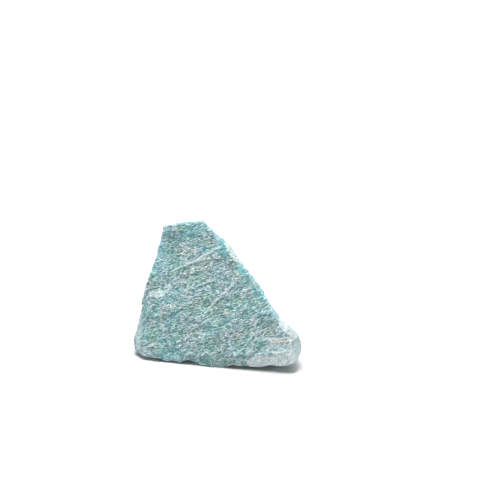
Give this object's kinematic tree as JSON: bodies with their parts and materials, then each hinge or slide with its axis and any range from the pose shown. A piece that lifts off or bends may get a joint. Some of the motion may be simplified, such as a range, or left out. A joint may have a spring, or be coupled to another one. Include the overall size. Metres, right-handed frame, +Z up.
{
  "type": "rough amazonite",
  "caption": "Rough broken piece of blue-green feldspar with one broad cleavage face, stepped walls and a flat seat on which it stands leaning back.",
  "frame": {"origin": "middle of the stone's box, at the level that it rests on", "axes": "+X across the cleavage face to the viewer's right, -Y out of the front towards the viewer, +Z up"},
  "size_m": [0.0556, 0.0374, 0.0459],
  "materials": {
    "amazonite": "broken feldspar: silky-dull cleavage with pale albite ribs in blue-green microcline, roughness about 0.55"
  },
  "bodies": {
    "root": {"amazonite_stone": "amazonite"}
  },
  "joints": []
}
